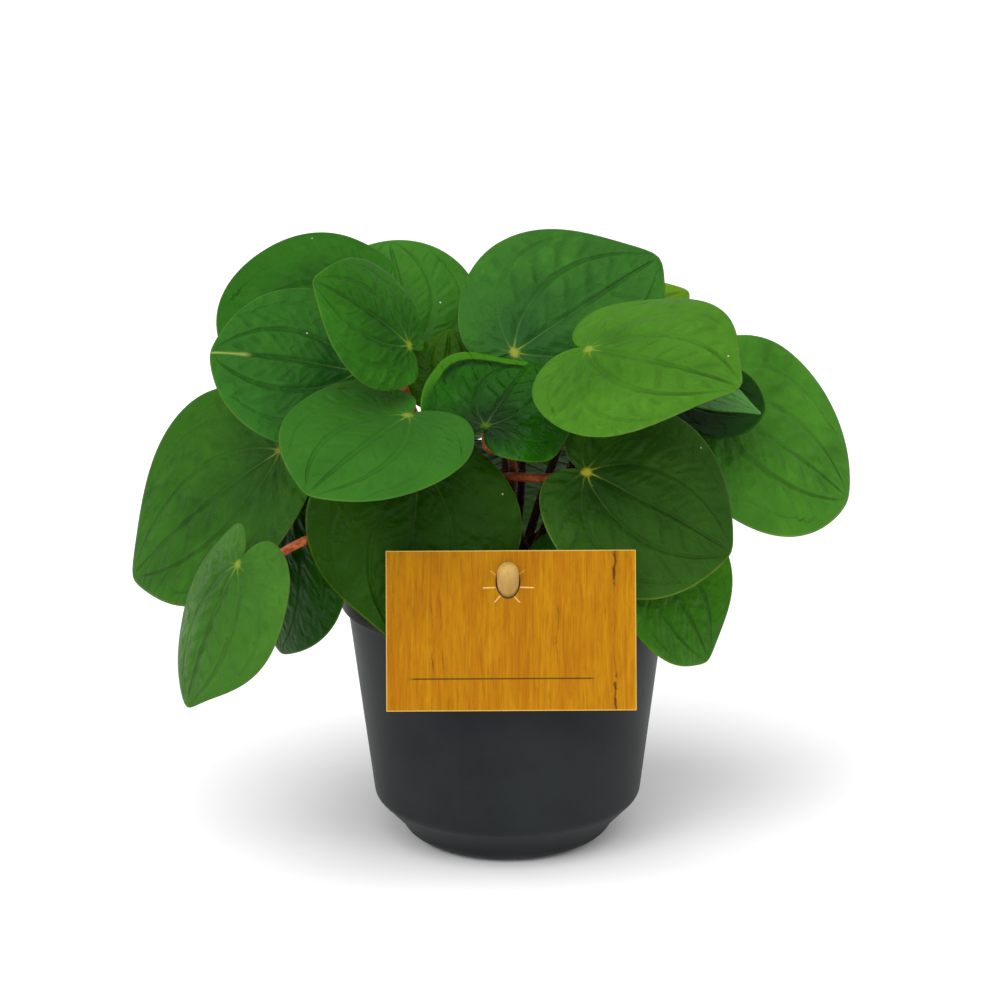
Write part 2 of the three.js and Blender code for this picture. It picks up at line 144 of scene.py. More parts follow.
def blade(hub, tip, roll, arch, look, **more):
    """The values of one leaf.

    hub is where the stalk meets the blade and tip is its point. roll turns the blade about the
    line between them, arch bends it down along that line, and cup bends its left and right halves
    down across it, all in degrees. lobe is the size of the two rounded lobes behind the hub, where
    that isn't 1, and taper is how much the sides are drawn in next to the tip. via are points that
    the stalk passes on its way from the crown, and ripeness is how red it is where it meets the
    blade, as well as how far up from the crown the stalk stays dark with painted shade. look names
    a material, and relief is how strongly the blade is quilted, 1 being usual.
    tone multiplies the leaf's colours. Most tones were fitted to the leaf's median colour in the
    photograph under this scene's light, so they make up for that light as well: besides the leaf's
    own colour they paint in light and shade, darkening some leaves and lightening others.
    """
    return {"hub": hub, "tip": tip, "roll": roll, "arch": arch, "look": look, **more}


LEAVES = {
    "top_left": blade((-48, 24, 198), (-101, 11, 179), 39, 20, "mid", cup=(13, 10), lobe=0.96,
        taper=0, via=[(-36, 6, 150), (-44, 16, 180)], tone=(0.66, 0.67, 0.56)),
    "top_back": blade((-34, 30, 174), (-43, 64, 208), 2, 22, "even", cup=(12, 15), taper=0,
        relief=0.5, tone=(1.15, 0.95, 1.3)),
    "top_centre": blade((3, 10, 178), (56, 40, 206), -50, 11, "blue", cup=(26, 17), lobe=0.89,
        via=[(6, 6, 150)], relief=1.3, tone=(1.1, 0.85, 1.45)),
    "small": blade((-34, -24, 189), (-66, -35, 215), 41, 24, "mid", cup=(24, 8), lobe=0.9,
        taper=0.07, ripeness=1, relief=1.4, tone=(0.9, 0.79, 1)),
    "mid_left": blade((-52, -14, 177), (-104, -11, 184), 44, 19, "streaked", taper=0.03, relief=1.1,
        tone=(0.85, 0.79, 0.9)),
    "front_left": blade((-34, -41, 168), (-67, -79, 151), 14, 15, "even", cup=(3, -6), lobe=1.14,
        taper=0.05, via=[(-29, -22, 150), (-35, -31, 161)], relief=0.6, tone=(0.8, 0.71, 0.95)),
    "front_right": blade((29, -28, 188), (79, -64, 184), -28, 14, "fresh", cup=(11, 11), lobe=1.08,
        via=[(30, -8, 159)], relief=0.7, tone=(0.94, 0.77, 1)),
    "left_large": blade((-81, 2, 144), (-136, 13, 94), 38, 21, "blue", cup=(-2, -8), lobe=0.78,
        taper=0.06, relief=1.3, tone=(1.06, 0.75, 0.8)),
    "left_pointed": blade((-93, -52, 118), (-111, -60, 69), 10, 21, "grey", cup=(23, 28), lobe=1.13,
        via=[(-48, -30, 124), (-70, -43, 124)], ripeness=1, tone=(0.83, 0.74, 0.85)),
    "left_under": blade((-75, -10, 127), (-82, -6, 71), 62, 24, "dark", cup=(18, 13), lobe=1.03,
        taper=0.06, tone=(0.64, 0.8, 0.12)),
    "low_left": blade((-30, -36, 149), (-36, -57, 90), 14, 8, "dark", cup=(20, 0), lobe=0.84,
        relief=0.8, tone=(1, 0.73, 0.25)),
    "low_right": blade((28, -32, 145), (79, -30, 115), -55, 23, "dark", cup=(15, 1), lobe=0.97,
        taper=0.05, via=[(-3, -18, 138), (12, -28, 142)], ripeness=1, tone=(1.6, 1.02, 1.2)),
    "right_large": blade((70, 20, 159), (125, 26, 118), -34, 23, "mid", cup=(-9, 13), lobe=0.7,
        taper=0.02, relief=1.5, tone=(1.85, 1.18, 2.1)),
    "right_cupped": blade((62, 8, 161), (93, 5, 158), -31, 18, "cupped", cup=(-2, 2), lobe=0.8,
        taper=0.02, via=[(30, -9, 141), (57, -4, 154)], relief=0.6, tone=(0.3, 0.5, 0.12)),
    "right_small": blade((53, -31, 178), (88, -41, 168), 2, 11, "grey", cup=(-7, -5),
        via=[(32, 0, 150), (44, -8, 171)], relief=0.6, tone=(0.98, 1.28, 0.96)),
    "right_under": blade((48, -27, 117), (72, -27, 74), -39, 22, "mid", cup=(-12, -14), taper=0.06,
        tone=(1.08, 0.87, 0.28)),
    "curled": blade((-7, -33, 162), (9, 5, 176), -2, 5, "glossy", cup=(-57, 38), lobe=1.43,
        taper=0.04, via=[(2, -21, 147)], relief=1.6, tone=(0.5, 0.68, 0.12)),
    "yellow": blade((-22, 4, 164), (-20, 22, 184), 0, 10, "yellow", relief=0.4,
        tone=(0.42, 0.56, 0.08)),
    "back_right": blade((34, 47, 179), (68, 64, 188), -24, 20, "yellow", relief=0.5,
        tone=(1.85, 1.56, 0.8)),
    "rear_top": blade((0, 46, 164), (6, 92, 148), 5, 20, "mid", cup=(12, 12)),
    "rear_left": blade((-50, 48, 168), (-90, 84, 148), 8, 20, "even", cup=(12, 12)),
    "rear_right": blade((62, 49, 160), (104, 79, 136), -8, 20, "blue", cup=(12, 12)),
    "rear_centre": blade((-20, 54, 145), (-34, 98, 115), 0, 22, "blue", cup=(8, 8),
        via=[(-14, 34, 140)]),
    "rear_low_left": blade((-48, 40, 127), (-86, 75, 92), 8, 20, "mid"),
    "rear_low_right": blade((46, 52, 128), (70, 94, 98), -5, 20, "even"),
    "rear_low": blade((4, 47, 132), (4, 90, 85), 0, 24, "dark", lobe=0.9),
    "side_right": blade((72, 32, 128), (100, 60, 100), -10, 22, "mid"),
    "behind_label": blade((22, -23, 119), (11, -41, 106), -10, 14, "mid"),
}

# ---- Label and stick ----

LABEL_WIDTH = 86.5
LABEL_HEIGHT = 55.5
LABEL_THICKNESS = 0.8
LABEL_BEVEL = 0.08
LABEL_LEAN = math.radians(17)
LABEL_CENTRE = Vector((1.4, -61, 96.5))
HOLE_ASIDE = -1
HOLE_RISE = 17.35
HOLE_SIDES = 64
HOLE_SAG = 0.3                   # how much deeper it is cut below the stick than above it
STICK_RADIUS = 3.9
STICK_LEAN = math.radians(35)
STICK_FOOT_Z = 40
STICK_PROUD = 8.2
STICK_CLEARANCE = 0.3
STICK_SIDES = 48


# ---- Mesh helpers ----

def linked(name, data):
    """A new object in the scene."""
    item = bpy.data.objects.new(name, data)
    bpy.context.scene.collection.objects.link(item)
    return item


def new_object(name, points, faces, material, smooth=True):
    """An object from points in millimetres."""
    mesh = bpy.data.meshes.new(name)
    mesh.from_pydata((np.asarray(points, float) * MM).tolist(), [], faces)
    mesh.polygons.foreach_set("use_smooth", [smooth] * len(mesh.polygons))
    mesh.update()
    mesh.materials.append(material)
    return linked(name, mesh)


def dress(piece, slot, *nodes):
    """Lets a piece ride on the plant and stand for its CAD nodes."""
    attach(piece, "root")
    if nodes:
        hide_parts(*nodes)
    return piece


def add_field(piece, name, values):
    """Stores a number or a vector with each vertex, for the materials to read."""
    values = np.asarray(values, np.float32)
    kind, key = ("FLOAT", "value") if values.ndim == 1 else ("FLOAT_VECTOR", "vector")
    attribute = piece.data.attributes.new(name, kind, "POINT")
    attribute.data.foreach_set(key, values.ravel())


def smoothstep(value, low, high):
    share = np.clip((value - low) / (high - low), 0, 1)
    return share * share * (3 - 2 * share)


def grid_faces(rows, columns, start=0):
    """Quads between the rows of a grid of points, where each row closes in a ring."""
    faces = []
    for row in range(rows - 1):
        for column in range(columns):
            here = start + row * columns + column
            beside = start + row * columns + (column + 1) % columns
            faces.append((here, beside, beside + columns, here + columns))
    return faces


def fan(pole, start, count, turned_over=False):
    """Triangles between a pole and the ring of points that begins at start."""
    ring = [(start + i, start + (i + 1) % count) for i in range(count)]
    return [(pole, b, a) if turned_over else (pole, a, b) for a, b in ring]


def turned(profile, segments):
    """Points and faces of a profile of (radius, height) turned about the Z axis.

    It starts and ends on the axis.
    """
    ring = profile[1:-1]
    angles = np.arange(segments) * 2 * math.pi / segments
    points = [
        (radius * math.cos(angle), radius * math.sin(angle), z)
        for radius, z in ring
        for angle in angles
    ]
    first = len(points)
    points += [(0, 0, profile[0][1]), (0, 0, profile[-1][1])]
    faces = grid_faces(len(ring), segments)
    faces += fan(first, 0, segments, True) + fan(first + 1, first - segments, segments)
    return np.array(points), faces


def bend(start, corner, end, steps):
    """The points of a quadratic curve after its start."""
    a, b, c = (np.array(point) for point in (start, corner, end))
    shares = np.arange(1, steps + 1) / steps
    return [tuple((1 - t) ** 2 * a + 2 * t * (1 - t) * b + t**2 * c) for t in shares]


def smooth_path(points, count):
    """Evenly spaced points on a centripetal Catmull-Rom curve through points."""
    points = [np.array(point, float) for point in points]
    padded = [2 * points[0] - points[1], *points, 2 * points[-1] - points[-2]]
    dense = []
    for i in range(1, len(padded) - 2):
        p0, p1, p2, p3 = padded[i - 1:i + 3]
        gaps = [max(np.linalg.norm(b - a) ** 0.5, 1e-4) for a, b in ((p0, p1), (p1, p2), (p2, p3))]
        start = ((p1 - p0) / gaps[0] - (p2 - p0) / (gaps[0] + gaps[1]) + (p2 - p1) / gaps[1]) * gaps[1]
        end = ((p2 - p1) / gaps[1] - (p3 - p1) / (gaps[1] + gaps[2]) + (p3 - p2) / gaps[2]) * gaps[1]
        for t in np.linspace(0, 1, 60, endpoint=False):
            dense.append(
                (2 * t**3 - 3 * t**2 + 1) * p1 + (t**3 - 2 * t**2 + t) * start
                + (3 * t**2 - 2 * t**3) * p2 + (t**3 - t**2) * end
            )
    dense.append(points[-1])
    dense = np.array(dense)
    lengths = np.concatenate([[0], np.cumsum(np.linalg.norm(np.diff(dense, axis=0), axis=1))])
    marks = np.linspace(0, lengths[-1], count)
    return np.stack([np.interp(marks, lengths, dense[:, axis]) for axis in range(3)], -1)


def swept(path, radii, sides):
    """Points and faces of a round bar along a path, closed at both ends."""
    tangents = np.gradient(path, axis=0)
    tangents /= np.linalg.norm(tangents, axis=1)[:, None]
    side = np.cross(tangents[0], (0.3, 0.9, 0.2))
    points = []
    for place, tangent, radius in zip(path, tangents, radii):
        side = side - tangent * (side @ tangent)
        side /= np.linalg.norm(side)
        other = np.cross(tangent, side)
        for i in range(sides):
            angle = 2 * math.pi * i / sides
            points.append(place + radius * (math.cos(angle) * side + math.sin(angle) * other))
    faces = grid_faces(len(path), sides)
    faces.append(tuple(reversed(range(sides))))
    faces.append(tuple(range((len(path) - 1) * sides, len(path) * sides)))
    return np.array(points), faces


def joined(parts):
    """One list of points and faces from several."""
    points, faces = [], []
    start = 0
    for part_points, part_faces in parts:
        points.append(part_points)
        faces += [tuple(start + i for i in face) for face in part_faces]
        start += len(part_points)
    return np.concatenate(points), faces


# ---- Material helpers ----

def colour(red, green, blue):
    """A colour given as it shows on a screen, from 0 to 255."""
    parts = [value / 255 for value in (red, green, blue)]
    linear = [v / 12.92 if v <= 0.04045 else ((v + 0.055) / 1.055) ** 2.4 for v in parts]
    return (*linear, 1)


class Look:
    """A procedural material that is put together node by node."""

    def __init__(self, name):
        self.material = bpy.data.materials.new(name)
        self.material.use_nodes = True
        self.nodes = self.material.node_tree.nodes
        self.links = self.material.node_tree.links
        self.shader = self.nodes["Principled BSDF"]

    def put(self, socket, value):
        """Links or sets an input, where three numbers for a colour are from 0 to 255."""
        if isinstance(value, bpy.types.NodeSocket):
            self.links.new(value, socket)
        elif socket.type == "RGBA" and len(value) == 3:
            socket.default_value = colour(*value)
        else:
            socket.default_value = value

    def node(self, kind, *values, **settings):
        """A new node with its settings, and values for its inputs in their order."""
        node = self.nodes.new("ShaderNode" + kind)
        for name, setting in settings.items():
            setattr(node, name, setting)
        for socket, value in zip(node.inputs, values):
            self.put(socket, value)
        return node

    def math(self, operation, *values, clamp=False):
        return self.node("Math", *values, operation=operation, use_clamp=clamp).outputs[0]

    def total(self, value, *others):
        for other in others:
            value = self.math("ADD", value, other)
        return value

    def strongest(self, value, *others):
        for other in others:
            value = self.math("MAXIMUM", value, other)
        return value

    def times(self, value, *factors):
        for factor in factors:
            value = self.math("MULTIPLY", value, factor)
        return value

    def gap(self, first, second):
        """How far apart two values are."""
        return self.math("ABSOLUTE", self.math("SUBTRACT", first, second))

    def swing(self, place, scale, reach, detail=2.0):
        """Noise about 0, where noise is about a half."""
        return self.times(self.math("SUBTRACT", self.noise(place, scale, detail), 0.5), reach)

    def ramp(self, value, low, high, start=0.0, end=1.0):
        """start where value is low, end where it is high, and smooth between them."""
        limits = (value, low, high, start, end)
        return self.node("MapRange", *limits, interpolation_type="SMOOTHSTEP").outputs[0]

    def mix(self, share, first, second, kind="MIX"):
        node = self.node("Mix", data_type="RGBA", blend_type=kind)
        self.put(node.inputs["Factor"], share)
        self.put(node.inputs[6], first)
        self.put(node.inputs[7], second)
        return node.outputs[2]

    def over(self, base, tint, value, *limits):
        """A tint laid over a colour as far as a ramp of the value says."""
        return self.mix(self.ramp(value, *limits), base, tint)

    def place(self, stretch=None):
        """The object's own coordinates, in metres, stretched along its axes where asked."""
        place = self.node("TexCoord").outputs["Object"]
        if stretch is None:
            return place
        return self.node("VectorMath", place, stretch, operation="MULTIPLY").outputs[0]

    def noise(self, place, scale, detail=2.0, roughness=0.5, distortion=0.0):
        node = self.node("TexNoise", place)
        names = ("Scale", "Detail", "Roughness", "Distortion")
        for name, value in zip(names, (scale, detail, roughness, distortion)):
            node.inputs[name].default_value = value
        return node.outputs[0]

    def cells(self, place, scale, feature="F1"):
        node = self.node("TexVoronoi", place, feature=feature)
        node.inputs["Scale"].default_value = scale
        return node

    def parts(self, vector):
        return self.node("SeparateXYZ", vector).outputs

    def field(self, name, kind="Fac"):
        return self.node("Attribute", attribute_name=name).outputs[kind]

    def bump(self, height, distance=MM):
        """Sets the shader's normal from a height in units of distance."""
        node = self.node("Bump")
        node.inputs["Distance"].default_value = distance
        self.put(node.inputs["Height"], height)
        self.put(self.shader.inputs["Normal"], node.outputs[0])

    def finish(self, base, roughness, **constants):
        self.put(self.shader.inputs["Base Color"], base)
        self.put(self.shader.inputs["Roughness"], roughness)
        for name, value in constants.items():
            self.shader.inputs[name.replace("_", " ")].default_value = value
        return self.material


# ---- Leaf material ----

# For the midrib, the two veins beside it and the basal vein, in this order
GROOVE_WEIGHTS = (1, 0.8, 0.4, 0.25)
LINE_WEIGHTS = (1, 0.7, 0.35, 0.2)
GROOVE_REACH = 3.4               # either side of a vein, in units of its own thinned distance
LINE_REACH = 0.5
SIDE_GROOVE = 0.26               # either side of a side vein, as a share of the space between two
CELL_SCALE = 135                 # raised cells of the skin to a metre
CELL_WARP = 8 * MM               # how far they are drawn out of shape
SEAM_REACH = 0.4
NET_SCALE = 700                  # cells of the finest veins to a metre
SHADOW_SHARE = 0.4               # how dark the painted shadow in a valley is, beside the deep green
GROOVE_SHADE, SIDE_SHADE, SEAM_SHADE = 0.5, 0.2, 0.2
GROOVE_DEPTH, SIDE_DEPTH, SEAM_DEPTH = 0.8, 0.35, 0.4    # in mm, as bump


def leaf_look(name, deep, bright, roughness=0.42, vein_show=0.4, specular=0.05, hub_show=0.7,
              hub_shade=0.0, shade_reach=20, valleys=1.0, streaked=False, rolled=False):
    """The skin of a leaf: greens darkened by painted shade in the valleys over its veins and between
    its cells, a yellow hub.

    The lengths in it are in mm, and the scales of noise and cells are to a metre.
    """
    look = Look(f"leaf_{name}")
    place = look.place()
    ribs = list(look.parts(look.field("ribs", "Vector")))
    basal, rung, between = look.parts(look.field("rungs", "Vector"))
    share, from_hub, from_margin = look.parts(look.field("place", "Vector"))
    under = look.field("under")
    tone = look.field("tone", "Vector")
    shadow = (*(SHADOW_SHARE * part for part in colour(*deep)[:3]), 1)

    drift = look.swing(place, 80, 1.4)
    nearness = [look.math("ABSOLUTE", look.math("ADD", rib, drift)) for rib in (*ribs, basal)]
    groove = look.strongest(*(
        look.times(look.ramp(near, 0, GROOVE_REACH, 1, 0), weight)
        for near, weight in zip(nearness, GROOVE_WEIGHTS)
    ))
    groove = look.times(groove, look.ramp(from_hub, 1.5, 8), look.ramp(from_margin, 1, 7, 0.2, 1))
    line = look.strongest(*(
        look.times(look.ramp(near, 0.05, LINE_REACH, 1, 0), weight)
        for near, weight in zip(nearness, LINE_WEIGHTS)
    ))
    wobble = look.math("ADD", rung, look.times(look.noise(place, 60), 0.7))
    rung_place = look.gap(look.math("FRACT", wobble), 0.5)
    off_rung = look.math("SUBTRACT", 0.5, rung_place)
    from_vein = look.field("from_vein")
    off_hub = look.ramp(from_hub, 4, 12)
    rung_groove = look.times(
        look.ramp(off_rung, 0, SIDE_GROOVE, 1, 0), look.ramp(from_vein, 0.8, 3),
        look.ramp(between, 0.7, 1, 1, 0), off_hub, look.ramp(from_margin, 2, 7),
    )
    warped = look.node("VectorMath", place, look.times(look.noise(place, 160, 2), CELL_WARP))
    quilt = look.cells(warped.outputs[0], CELL_SCALE, "DISTANCE_TO_EDGE").outputs[0]
    seam = look.times(look.ramp(quilt, 0, SEAM_REACH, 1, 0), off_hub)

    patches = look.noise(place, 55, 3)
    outward = look.ramp(share, 0.05, 0.8)
    blend = look.total(look.times(outward, 0.5), look.times(patches, 1.2), -0.35)
    top = look.mix(look.math("ADD", blend, 0, clamp=True), deep, bright)
    strength = look.ramp(look.noise(place, 38, 2), 0.35, 0.65, 0.25, 1)
    # Painted shade: the shadow colour laid into the vein grooves, the side-vein grooves and the seams
    # between the raised cells.
    veins = look.strongest(
        look.times(groove, GROOVE_SHADE * valleys), look.times(rung_groove, SIDE_SHADE * valleys)
    )
    valley_shade = look.total(veins, look.times(seam, SEAM_SHADE * valleys))
    top = look.mix(look.times(valley_shade, strength), top, shadow)
    # Painted shade that deepens towards the hub.
    if hub_shade:
        top = look.over(top, shadow, from_hub, 3, shade_reach, hub_shade, 0)
    net = look.cells(place, NET_SCALE, "DISTANCE_TO_EDGE").outputs[0]
    top = look.over(top, deep, net, 0.0, 0.12, 0.1, 0)
    fade = look.ramp(from_hub, 4, 26, 1, 0.25)
    top = look.mix(look.times(line, fade, vein_show), top, VEIN_GREEN)
    uneven = look.swing(place, 300, 2.4)
    blob = look.ramp(look.math("ADD", from_hub, uneven), 0.8, 2.6, 1, 0)
    rays = look.times(line, look.ramp(from_hub, 2, 6.5, 0.8, 0))
    top = look.mix(look.times(look.math("MAXIMUM", blob, rays), hub_show), top, HUB_YELLOW)
    if streaked:
        along_rib = look.ramp(nearness[0], 1, 3.5, 1, 0)
        outer = look.ramp(share, 0.7, 0.78, 0, 0.7)
        top = look.mix(look.times(along_rib, outer), top, STREAK)
    # A rolled margin: a painted shadow along its crease, and a paler strip for the margin rolled over.
    if rolled:
        left_side = look.times(look.ramp(ribs[0], 2, 5), look.ramp(from_hub, 23, 28))
        fold_shadow = look.ramp(look.gap(from_margin, 4.6), 0.3, 2.4, 0.75, 0)
        top = look.mix(look.times(fold_shadow, left_side), top, shadow)
        roll = look.times(look.ramp(from_margin, 2.8, 3.6, 0.7, 0), left_side)
        top = look.mix(roll, top, MARGIN_ROLL)
    specks = look.cells(place, 130)
    chosen = look.ramp(look.parts(specks.outputs["Color"])[0], 0.8, 0.82)
    speck = look.times(look.ramp(specks.outputs["Distance"], 0.02, 0.06, 1, 0), chosen)
    top = look.mix(look.times(speck, 0.8), top, SPECK_WHITE)

    below = look.mix(patches, UNDER_DEEP, UNDER_BRIGHT)
    below = look.mix(look.times(line, 0.4), below, UNDER_VEIN)
    skin = look.mix(under, top, below)
    rim = look.ramp(from_margin, 0.1, 0.7, 0.45, 0)
    edge = look.times(rim, look.ramp(patches, 0.3, 0.6, 0.5, 1))
    skin = look.mix(edge, skin, MARGIN_PALE)
    # The per-leaf tone, which also paints in light and shade.
    skin = look.mix(1, skin, tone, "MULTIPLY")

    grain = look.noise(place, 1500, 2, 0.6)
    swell = look.noise(place, 110, 2)
    sunk = look.total(
        look.times(groove, -GROOVE_DEPTH), look.times(rung_groove, -SIDE_DEPTH),
        look.times(seam, -SEAM_DEPTH * valleys),
    )
    raised = look.times(sunk, look.ramp(under, 0, 1, 1, -1))
    height = look.total(raised, look.times(grain, 0.03), look.times(swell, 0.8),
                        look.times(look.ramp(net, 0, 0.25), 0.035))
    look.bump(height)
    gloss = look.math("ADD", look.times(patches, 0.16), roughness - 0.08)
    return look.finish(skin, gloss, Specular_IOR_Level=specular)


VEIN_GREEN = (80, 134, 36)
HUB_YELLOW = (136, 158, 44)
STREAK = (150, 176, 78)
MARGIN_PALE = (84, 122, 40)
MARGIN_ROLL = (84, 140, 40)
SPECK_WHITE = (200, 214, 190)
UNDER_DEEP = (36, 70, 18)
UNDER_BRIGHT = (54, 92, 30)
UNDER_VEIN = (80, 116, 46)

LEAF_SKINS = {
    "mid": dict(deep=(27, 78, 10), bright=(46, 110, 18)),
    "even": dict(deep=(36, 92, 18), bright=(50, 112, 22), vein_show=0.2, valleys=0.35),
    "blue": dict(deep=(26, 74, 20), bright=(46, 108, 20), vein_show=0.45),
    "streaked": dict(deep=(24, 72, 20), bright=(46, 108, 22), streaked=True),
    "fresh": dict(deep=(50, 108, 16), bright=(66, 128, 22), vein_show=0.25),
    "grey": dict(deep=(44, 94, 24), bright=(64, 118, 32), vein_show=0.45),
    # Painted shade: a darker copy of the greens for the low leaves that lie under the canopy.
    "dark": dict(deep=(16, 52, 8), bright=(34, 82, 16), roughness=0.4, vein_show=0.25,
                 valleys=0.85),
    # Painted shade round the hub, and along the crease of the rolled margin.
    "glossy": dict(deep=(14, 56, 4), bright=(40, 100, 10), roughness=0.24, vein_show=0.25,
                   specular=0.08, hub_show=0.3, hub_shade=0.8, rolled=True),
    # Painted shade fills the hollow of the cupped leaf from the hub outwards, over darker greens.
    "cupped": dict(deep=(12, 42, 4), bright=(46, 98, 16), hub_shade=1, shade_reach=48),
    "yellow": dict(deep=(30, 66, 3), bright=(72, 116, 8), vein_show=0.2),
}
LEAF_LOOKS = {name: leaf_look(name, **skin) for name, skin in LEAF_SKINS.items()}


# ---- Leaf blades ----

def leaf_axes(leaf):
    """A leaf's hub, chord and own axes: along to the tip, left across it, up out of it."""
    hub = np.array(leaf["hub"], float)
    along = np.array(leaf["tip"], float) - hub
    chord = np.linalg.norm(along)
    along /= chord
    up = np.array((0, 0, 1.0)) - along * along[2]
    up /= np.linalg.norm(up)
    left = np.cross(up, along)
    roll = math.radians(leaf["roll"])
    return {
        "hub": hub,
        "chord": chord,
        "along": along,
        "up": up * math.cos(roll) + left * math.sin(roll),
        "left": left * math.cos(roll) - up * math.sin(roll),
    }


def blade_reach(angle, leaf):
    """The cut of every blade: its reach from the hub at an angle from the tip."""
    turn = np.abs(angle)
    degrees = np.degrees(turn)
    radius = 1 - HUB_TO_CENTRE
    circle = HUB_TO_CENTRE * np.cos(turn) + np.sqrt(radius**2 - (HUB_TO_CENTRE * np.sin(turn)) ** 2)
    past = (np.hypot(degrees, TIP_BLUNTNESS) - TIP_BLUNTNESS) / TAPER_ANGLE
    taper = 1 - leaf.get("taper", TIP_TAPER) * past * np.exp(1 - past)
    sinus = 1 - SINUS_DEPTH * np.exp(-(((180 - degrees) / SINUS_ANGLE) ** 2))
    behind = smoothstep(degrees, LOBE_FROM, LOBE_TO)
    return circle * taper * sinus * (1 + (leaf.get("lobe", 1) - 1) * behind)


def cubic(corners, count):
    t = np.linspace(0, 1, count)[:, None]
    a, b, c, d = (np.array(corner, float) for corner in corners)
    return (1 - t) ** 3 * a + 3 * t * (1 - t) ** 2 * b + 3 * t**2 * (1 - t) * c + t**3 * d


VEIN_LINES = [cubic(corners, VEIN_POINTS) for corners in VEINS]


def beside_vein(spots, line):
    """How far spots lie outside a vein, below 0 inside it, and the share of it they are at."""
    starts = line[:-1]
    steps = line[1:] - starts
    lengths = np.linalg.norm(steps, axis=1)
    offset = spots[:, None, :] - starts[None]
    t = np.clip((offset * steps).sum(-1) / lengths**2, 0, 1)
    gap = offset - t[..., None] * steps
    distance = np.linalg.norm(gap, axis=-1)
    nearest = distance.argmin(1)
    rows = np.arange(len(spots))
    step = steps[nearest]
    away = gap[rows, nearest]
    side = np.sign(step[:, 0] * away[:, 1] - step[:, 1] * away[:, 0])
    travelled = np.concatenate([[0], np.cumsum(lengths)])
    along = (travelled[nearest] + t[rows, nearest] * lengths[nearest]) / travelled[-1]
    return distance[rows, nearest] * np.where(side == 0, 1, side), along


def vein_fields(u, v, rim):
    """Where spots of a leaf of length 1 lie among its veins.

    Gives the signed distances to the main veins, how far each vein has thinned out there, the
    number of the side vein that runs there, and the share of the way between two main veins.
    """
    spots = np.stack([u, np.abs(v)], -1)
    distances, alongs = zip(*(beside_vein(spots, line) for line in VEIN_LINES))
    mid, first, second, basal = distances
    sector = np.select([first < 0, second < 0, basal < 0], [0, 1, 2], 3)
    inner = np.choose(sector, [np.abs(mid), np.abs(first), np.abs(second), np.abs(basal)])
    outer = np.choose(sector, [np.abs(first), np.abs(second), np.abs(basal), rim])
    between = inner / np.maximum(inner + outer, 1e-6)
    along = np.choose(sector, alongs)
    rung = RUNGS * (along - RUNG_SLANT * between) + np.where(v < 0, 0.4, 0)
    midrib = np.where(u > 0, v, np.hypot(u, v))
    return [midrib, first, second, basal], alongs, rung, between


def blade_points(leaf, axes, angle, share, height):
    """Points at a height above the middle of the blade, and the fields that its skin reads."""
    arch = math.radians(leaf["arch"])
    length = axes["chord"] * (arch / 2) / math.sin(arch / 2)
    whole = blade_reach(angle, leaf)
    u = whole * share * np.cos(angle)
    v = whole * share * np.sin(angle)
    veins, alongs, rung, between = vein_fields(u, v, whole * (1 - share))
    strength = leaf.get("relief", 1)
    nearest = np.min(np.abs(veins), axis=0)
    quilt = QUILTING * (1 - np.exp(-((nearest / VEIN_WIDTH) ** 2)))
    off_rung = np.abs((rung % 1) - 0.5)
    inside = smoothstep(nearest, 0, 0.03) * smoothstep(share, 0.05, 0.3)
    inside = inside * (1 - smoothstep(between, 0.6, 1))
    dips = RUNG_DEPTH * np.exp(-(((0.5 - off_rung) / RUNG_WIDTH) ** 2)) * inside
    relief = (quilt - strength * dips + (strength - 1) * 0.5 * quilt) * (1 - share**4)
    left_cup, right_cup = (half or LEAST_BEND for half in leaf.get("cup", USUAL_CUP))
    cup = np.radians(np.where(v >= 0, left_cup, right_cup))
    curve = cup / (HALF_WIDTH * length)
    wave = MARGIN_WAVE * share**3 * np.sin(MARGIN_WAVES * angle + leaf["hub"][0])
    rise = (wave + relief) * length + height
    slope = curve * v * length
    across = np.sin(slope) * (1 / curve + rise)
    lift = np.cos(slope) * (1 / curve + rise) - 1 / curve
    radius = length / arch
    x = (radius + lift) * np.sin(u * arch)
    z = (radius + lift) * np.cos(u * arch) - radius
    half = arch / 2
    points = (
        axes["hub"]
        + np.outer(x * math.cos(half) - z * math.sin(half), axes["along"])
        + np.outer(across, axes["left"])
        + np.outer(x * math.sin(half) + z * math.cos(half), axes["up"])
    )
    widths = [np.clip(1 - VEIN_THINNING * along, THINNEST_VEIN, 1) for along in alongs]
    widths[0] = np.where(u > 0, widths[0], THINNEST_VEIN)
    ribs = np.stack([vein * length / width for vein, width in zip(veins, widths)], -1)
    from_hub = np.hypot(u, v) * length
    from_margin = whole * (1 - share) * length
    fields = {
        "ribs": ribs[:, :3],
        "rungs": np.stack([ribs[:, 3], rung, between], -1),
        "place": np.stack([share, from_hub, from_margin], -1),
        "from_vein": nearest * length,
    }
    return points, fields


